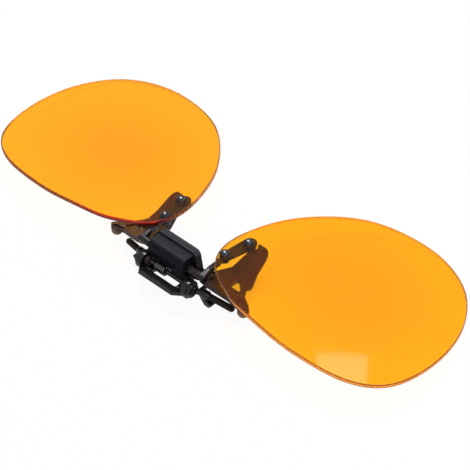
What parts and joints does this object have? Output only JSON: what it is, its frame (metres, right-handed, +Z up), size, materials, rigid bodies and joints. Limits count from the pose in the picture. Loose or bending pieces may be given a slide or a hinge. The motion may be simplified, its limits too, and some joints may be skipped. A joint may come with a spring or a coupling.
{
  "type": "clip-on glasses",
  "caption": "Clip-on tinted lenses that flip up on a detent hinge, held to spectacles by a sprung clip with folded wings and rubber-tipped prongs",
  "frame": {"origin": "on the supporting plane, under the middle of the bounding box", "axes": "+X towards the wearer's right, +Y from the brow edge towards the cheek edges of the lenses, +Z up, out of the lenses' front faces"},
  "size_m": [0.1336, 0.0534, 0.0119],
  "materials": {
    "amber_lens": "polished tinted lens sheet",
    "arm_metal": "black paint, satin",
    "screw_metal": "dark blued steel",
    "washer_nylon": "black nylon",
    "nut_metal": "plain steel",
    "pin_metal": "plain steel",
    "cam_nylon": "natural nylon",
    "housing_plastic": "black, half gloss",
    "plate_metal": "black paint, satin",
    "spring_steel": "spring steel",
    "jaw_metal": "black paint, satin",
    "soft_rubber": "soft dark rubber",
    "lever_metal": "black paint, half gloss"
  },
  "bodies": {
    "clip": {"spring_housing": "housing_plastic", "bridge_plate": "plate_metal", "detent_leaf": "spring_steel", "front_jaw": "jaw_metal", "jaw_rivets": "pin_metal", "left_finger_ball": "soft_rubber", "right_finger_ball": "soft_rubber", "jaw_pin": "pin_metal", "torsion_spring": "spring_steel"},
    "lenses": {"left_lens": "amber_lens", "right_lens": "amber_lens", "left_arm": "arm_metal", "right_arm": "arm_metal", "left_lens_screws": "screw_metal", "right_lens_screws": "screw_metal", "left_lens_washers": "washer_nylon", "right_lens_washers": "washer_nylon", "left_lens_nuts": "nut_metal", "right_lens_nuts": "nut_metal", "flip_pin": "pin_metal", "detent_cam": "cam_nylon"},
    "rear_jaw": {"bail_lever": "lever_metal", "left_prong_sleeve": "soft_rubber", "right_prong_sleeve": "soft_rubber"}
  },
  "joints": [
    {"name": "lens_flip", "type": "hinge", "parent": "clip", "child": "lenses", "pos_m": [0, -0.01994, 0.00864], "axis": [1, 0, 0], "range_deg": [0, 90], "deforming": ["detent_leaf"]},
    {"name": "jaw_open", "type": "hinge", "parent": "clip", "child": "rear_jaw", "pos_m": [0, -0.02223, 0.0056], "axis": [-1, 0, 0], "range_deg": [0, 30], "stiffness_Nm_per_rad": 0.03, "springref_deg": -17.19, "deforming": ["torsion_spring"]}
  ]
}
